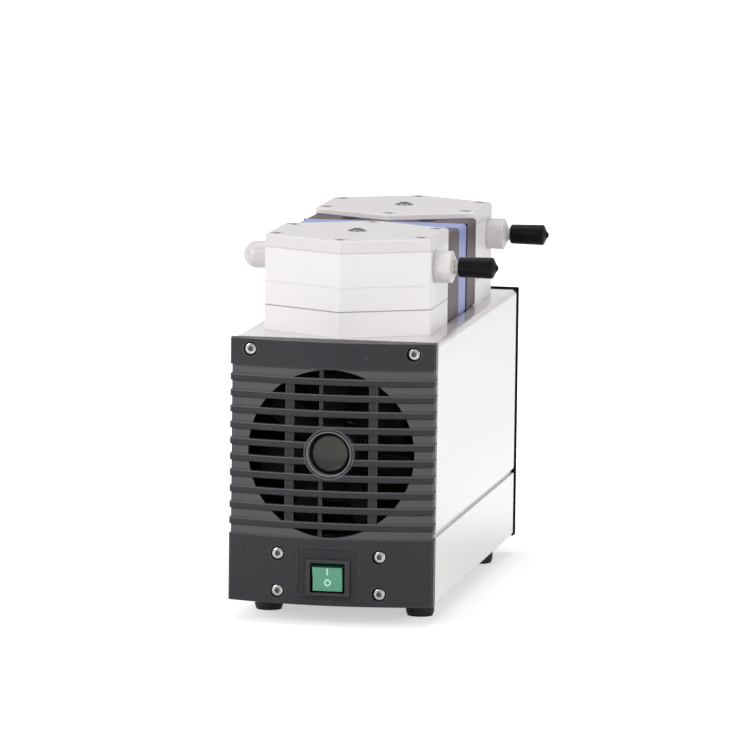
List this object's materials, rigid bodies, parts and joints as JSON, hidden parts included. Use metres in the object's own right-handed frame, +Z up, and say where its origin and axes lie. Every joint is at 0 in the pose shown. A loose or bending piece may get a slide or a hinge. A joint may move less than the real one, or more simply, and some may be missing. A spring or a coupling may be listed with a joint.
{
  "type": "diaphragm vacuum pump",
  "caption": "Bench diaphragm vacuum pump: white sheet housing with black grilled ends, two white hexagonal heads joined by a bridge block, capped side ports, rocker switch and rubber feet.",
  "frame": {"origin": "the point on the bench midway between the four feet, under the middle of the housing's width and length", "axes": "+X to the side with the capped hose ports, -Y towards the grille with the switch, +Z up through the heads"},
  "size_m": [0.1853, 0.3561, 0.262],
  "materials": {
    "black_moulding": "fine textured",
    "white_sheet": "gloss",
    "foot_rubber": "matte",
    "steel_screw": "bright",
    "switch_black": "satin",
    "rocker_green": "translucent",
    "inlet_black": "satin",
    "pin_brass": "bright",
    "cast_aluminium": "as cast",
    "shaft_steel": "ground",
    "lamination": "stacked",
    "copper_winding": "enamelled",
    "fan_plastic": "satin",
    "capacitor_case": "satin",
    "head_white": "smooth",
    "fitting_white": "slightly translucent",
    "diaphragm_rubber": "smooth",
    "cap_vinyl": "glossy",
    "bridge_grey": "satin",
    "bridge_blue": "satin",
    "gasket_black": "matte",
    "tube_white": "smooth"
  },
  "bodies": {
    "pump": {"base_screws": "steel_screw", "base_tray": "white_sheet", "blanking_plug": "fitting_white", "bridge_band": "bridge_blue", "bridge_front": "bridge_grey", "bridge_gasket": "gasket_black", "bridge_plugs": "gasket_black", "bridge_rear": "bridge_grey", "centre_screws": "steel_screw", "crankcase_front": "cast_aluminium", "crankcase_rear": "cast_aluminium", "diaphragm_front": "diaphragm_rubber", "diaphragm_rear": "diaphragm_rubber", "end_shield_front": "cast_aluminium", "end_shield_rear": "cast_aluminium", "foot_front_left": "foot_rubber", "foot_front_right": "foot_rubber", "foot_rear_left": "foot_rubber", "foot_rear_right": "foot_rubber", "front_panel": "black_moulding", "head_base_front": "head_white", "head_base_rear": "head_white", "head_screws": "steel_screw", "hose_nozzle_front": "fitting_white", "hose_nozzle_rear": "fitting_white", "housing_cover": "white_sheet", "inlet_pins": "pin_brass", "motor_stator": "lamination", "panel_screws": "steel_screw", "port_block_front": "head_white", "port_block_rear": "head_white", "port_nut_front": "fitting_white", "port_nut_rear": "fitting_white", "power_inlet": "inlet_black", "rear_panel": "black_moulding", "run_capacitor": "capacitor_case", "shaft_bearings": "shaft_steel", "stator_windings": "copper_winding", "switch_frame": "switch_black", "top_plate_front": "head_white", "top_plate_rear": "head_white", "transfer_tube": "tube_white", "valve_discs": "diaphragm_rubber", "valve_plate_front": "head_white", "valve_plate_rear": "head_white"},
    "shaft": {"drive_shaft": "shaft_steel", "rotor": "lamination", "cooling_fan": "fan_plastic", "eccentric_front": "shaft_steel", "eccentric_rear": "shaft_steel"},
    "rod_front": {"connecting_rod_front": "cast_aluminium", "rod_bearing_front": "shaft_steel", "diaphragm_clamp_front": "cast_aluminium"},
    "rod_rear": {"connecting_rod_rear": "cast_aluminium", "rod_bearing_rear": "shaft_steel", "diaphragm_clamp_rear": "cast_aluminium"},
    "rocker": {"switch_rocker": "rocker_green"},
    "cap_front": {"port_cap_front": "cap_vinyl"},
    "cap_rear": {"port_cap_rear": "cap_vinyl"},
    "drawer": {"fuse_drawer": "inlet_black"}
  },
  "joints": [
    {"name": "shaft_spin", "type": "hinge", "parent": "pump", "child": "shaft", "pos_m": [0, 0, 0.1181], "axis": [0, 1, 0], "continuous": true, "deforming": ["diaphragm_front", "diaphragm_rear"]},
    {"name": "rod_front_turn", "type": "hinge", "parent": "shaft", "child": "rod_front", "pos_m": [0, -0.0867, 0.1211], "axis": [0, 1, 0], "continuous": true},
    {"name": "rod_rear_turn", "type": "hinge", "parent": "shaft", "child": "rod_rear", "pos_m": [0, 0.09, 0.1151], "axis": [0, 1, 0], "continuous": true},
    {"name": "switch_rock", "type": "hinge", "parent": "pump", "child": "rocker", "pos_m": [0, -0.177, 0.033], "axis": [-1, 0, 0], "range_deg": [0, 18]},
    {"name": "cap_front_pull", "type": "slide", "parent": "pump", "child": "cap_front", "axis": [1, 0, 0], "range_m": [0, 0.032]},
    {"name": "cap_rear_pull", "type": "slide", "parent": "pump", "child": "cap_rear", "axis": [1, 0, 0], "range_m": [0, 0.032]},
    {"name": "fuse_drawer_slide", "type": "slide", "parent": "pump", "child": "drawer", "axis": [0, 1, 0], "range_m": [0, 0.018]}
  ],
  "couplings": [
    {"joint": "rod_front_turn", "follows": "shaft_spin", "ratio": -1},
    {"joint": "rod_rear_turn", "follows": "shaft_spin", "ratio": -1}
  ]
}
